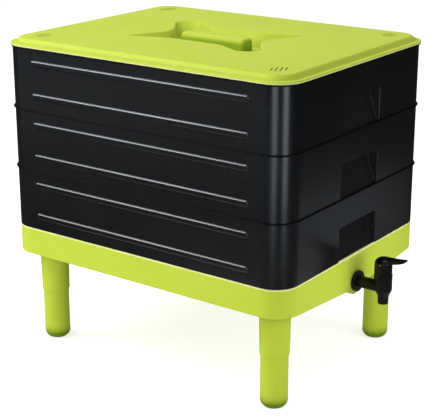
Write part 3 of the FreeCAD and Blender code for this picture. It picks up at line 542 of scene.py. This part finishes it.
def make_floor(floor_colour):
    """Plain painted floor: pale and matt, white to the camera apart from the object's shadow."""
    # Strength of the light that the floor gives off to the camera alone
    glow_strength = 0.6
    # The floor that the gloss sees is painted pale near the set and dark farther off, a painted reflection
    # that keeps the far floor out of the gloss of the walls and weakens its bounce: metres from the middle
    # at which the dark begins and is full, and the floor's greys at both
    painted_dark_begin = 0.45
    painted_dark_full = 0.62
    painted_pool_grey = 0.5
    painted_dark_grey = 0.04
    mesh = bpy.data.meshes.new("studio_floor")
    corners = [(-FLOOR_REACH, -FLOOR_REACH, 0), (FLOOR_REACH, -FLOOR_REACH, 0),
               (FLOOR_REACH, FLOOR_REACH, 0), (-FLOOR_REACH, FLOOR_REACH, 0)]
    mesh.from_pydata(corners, [], [(0, 1, 2, 3)])
    floor = bpy.data.objects.new("studio_floor", mesh)
    bpy.context.scene.collection.objects.link(floor)
    material = new_material("painted_studio_floor")
    tree = material.node_tree
    rays = add(tree, "ShaderNodeLightPath")
    paint = add(tree, "ShaderNodeBsdfDiffuse", {"Color": floor_colour})
    glow = add(tree, "ShaderNodeEmission", {"Color": WHITE, "Strength": glow_strength})
    lit = add(tree, "ShaderNodeAddShader", {0: paint.outputs[0], 1: glow.outputs[0]})
    place = add(tree, "ShaderNodeTexCoord").outputs["Object"]
    away = add(tree, "ShaderNodeVectorMath", {0: place}, operation="LENGTH")
    # Painted reflection: the floor's grey for the gloss falls with the distance from the middle
    reflected_floor_grey = add(tree, "ShaderNodeMapRange",
                     {"Value": away.outputs["Value"], "From Min": painted_dark_begin, "From Max": painted_dark_full,
                      "To Min": painted_pool_grey, "To Max": painted_dark_grey})
    painted_reflected_floor = add(tree, "ShaderNodeBsdfDiffuse", {"Color": reflected_floor_grey.outputs["Result"]})
    bounce = add(tree, "ShaderNodeBsdfDiffuse", {"Color": BOUNCE_GREY})
    mirrored = add(tree, "ShaderNodeMixShader",
                   {0: rays.outputs["Is Glossy Ray"], 1: bounce.outputs[0], 2: painted_reflected_floor.outputs[0]})
    surface = add(tree, "ShaderNodeMixShader",
                  {0: rays.outputs["Is Camera Ray"], 1: mirrored.outputs[0], 2: lit.outputs[0]})
    finish_material(material, surface)
    mesh.materials.append(material)


def make_world(scene):
    """White to the camera, even fill for matt surfaces, and for gloss a dark horizon under a light top."""
    fill_strength = 0.45
    # Strengths that the gloss finds at the horizon and at the top, and how steep a direction they begin at
    horizon_strength = 0.05
    top_strength = 0.5
    horizon_steepness = 0.3
    top_steepness = 0.95
    world = bpy.data.worlds.new("studio_backdrop")
    scene.world = world
    world.use_nodes = True
    tree = world.node_tree
    tree.nodes.clear()
    rays = add(tree, "ShaderNodeLightPath")
    white_seen = add(tree, "ShaderNodeMath",
                     {0: rays.outputs["Is Camera Ray"], 1: rays.outputs["Is Transmission Ray"]},
                     operation="MAXIMUM")
    direction = add(tree, "ShaderNodeTexCoord").outputs["Generated"]
    toward = add(tree, "ShaderNodeSeparateXYZ", {0: direction})
    climb = add(tree, "ShaderNodeMapRange",
                {"Value": toward.outputs["Z"], "From Min": horizon_steepness, "From Max": top_steepness,
                 "To Min": horizon_strength, "To Max": top_strength})
    mirrored = add(tree, "ShaderNodeBackground", {"Color": WHITE, "Strength": climb.outputs["Result"]})
    fill = add(tree, "ShaderNodeBackground", {"Color": WHITE, "Strength": fill_strength})
    seen = add(tree, "ShaderNodeBackground", {"Color": WHITE, "Strength": 1.0})
    lighting = add(tree, "ShaderNodeMixShader",
                   {0: rays.outputs["Is Glossy Ray"], 1: fill.outputs[0], 2: mirrored.outputs[0]})
    surface = add(tree, "ShaderNodeMixShader",
                  {0: white_seen.outputs[0], 1: lighting.outputs[0], 2: seen.outputs[0]})
    add(tree, "ShaderNodeOutputWorld", {"Surface": surface.outputs[0]})


def add_lamp(name, place, target, width, height, watts, matt=True, gloss=True):
    """Softbox turned to its target, lighting matt surfaces, glossy reflections or both; metres and watts."""
    lamp = bpy.data.lights.new(name, "AREA")
    lamp.shape = "RECTANGLE"
    lamp.size = width
    lamp.size_y = height
    lamp.energy = watts
    if not matt:
        lamp.color = CARD_TINT
    holder = bpy.data.objects.new(name, lamp)
    holder.location = place
    holder.visible_camera = False
    holder.visible_diffuse = matt
    holder.visible_glossy = gloss
    holder.rotation_euler = (Vector(target) - Vector(place)).to_track_quat("-Z", "Y").to_euler()
    bpy.context.scene.collection.objects.link(holder)


def set_camera(scene):
    """Camera at the place that the photograph was taken from."""
    view = bpy.data.cameras.new("photograph_camera")
    view.sensor_fit = "HORIZONTAL"
    view.sensor_width = SENSOR_WIDTH
    view.lens = SENSOR_WIDTH * FOCAL_PIXELS / PICTURE_WIDTH
    view.shift_y = -(PICTURE_HEIGHT / 2 - AXIS_ROW) / PICTURE_WIDTH
    view.clip_end = FARTHEST_SEEN
    camera = bpy.data.objects.new("photograph_camera", view)
    camera.location = CAMERA_PLACE
    camera.rotation_euler = (math.radians(90 - CAMERA_PITCH), 0, math.radians(CAMERA_AZIMUTH))
    scene.collection.objects.link(camera)
    scene.camera = camera


OPERATORS = (WORMERY_OT_lime_plastic, WORMERY_OT_charcoal_plastic, WORMERY_OT_tap_plastic,
             WORMERY_OT_tap_spring, WORMERY_OT_shank_thread, WORMERY_OT_studio)


class WORMERY_PT_panel(bpy.types.Panel):
    bl_idname = "WORMERY_PT_panel"
    bl_label = "Wormery"
    bl_space_type = "VIEW_3D"
    bl_region_type = "UI"
    bl_category = "Wormery"

    def draw(self, context):
        for operator in OPERATORS:
            self.layout.operator(operator.bl_idname)


CLASSES = (WormerySizes, WormeryColours, *OPERATORS, WORMERY_PT_panel)


def register():
    for item in CLASSES:
        bpy.utils.register_class(item)
    bpy.types.Scene.wormery_sizes = bpy.props.PointerProperty(type=WormerySizes)
    bpy.types.Scene.wormery_colours = bpy.props.PointerProperty(type=WormeryColours)


def unregister():
    del bpy.types.Scene.wormery_colours
    del bpy.types.Scene.wormery_sizes
    for item in reversed(CLASSES):
        bpy.utils.unregister_class(item)


def main():
    register()
    bpy.ops.wormery.lime_plastic()
    bpy.ops.wormery.charcoal_plastic()
    bpy.ops.wormery.tap_plastic()
    bpy.ops.wormery.tap_spring()
    bpy.ops.wormery.shank_thread()
    bpy.ops.wormery.studio()


if __name__ == "__main__":
    main()
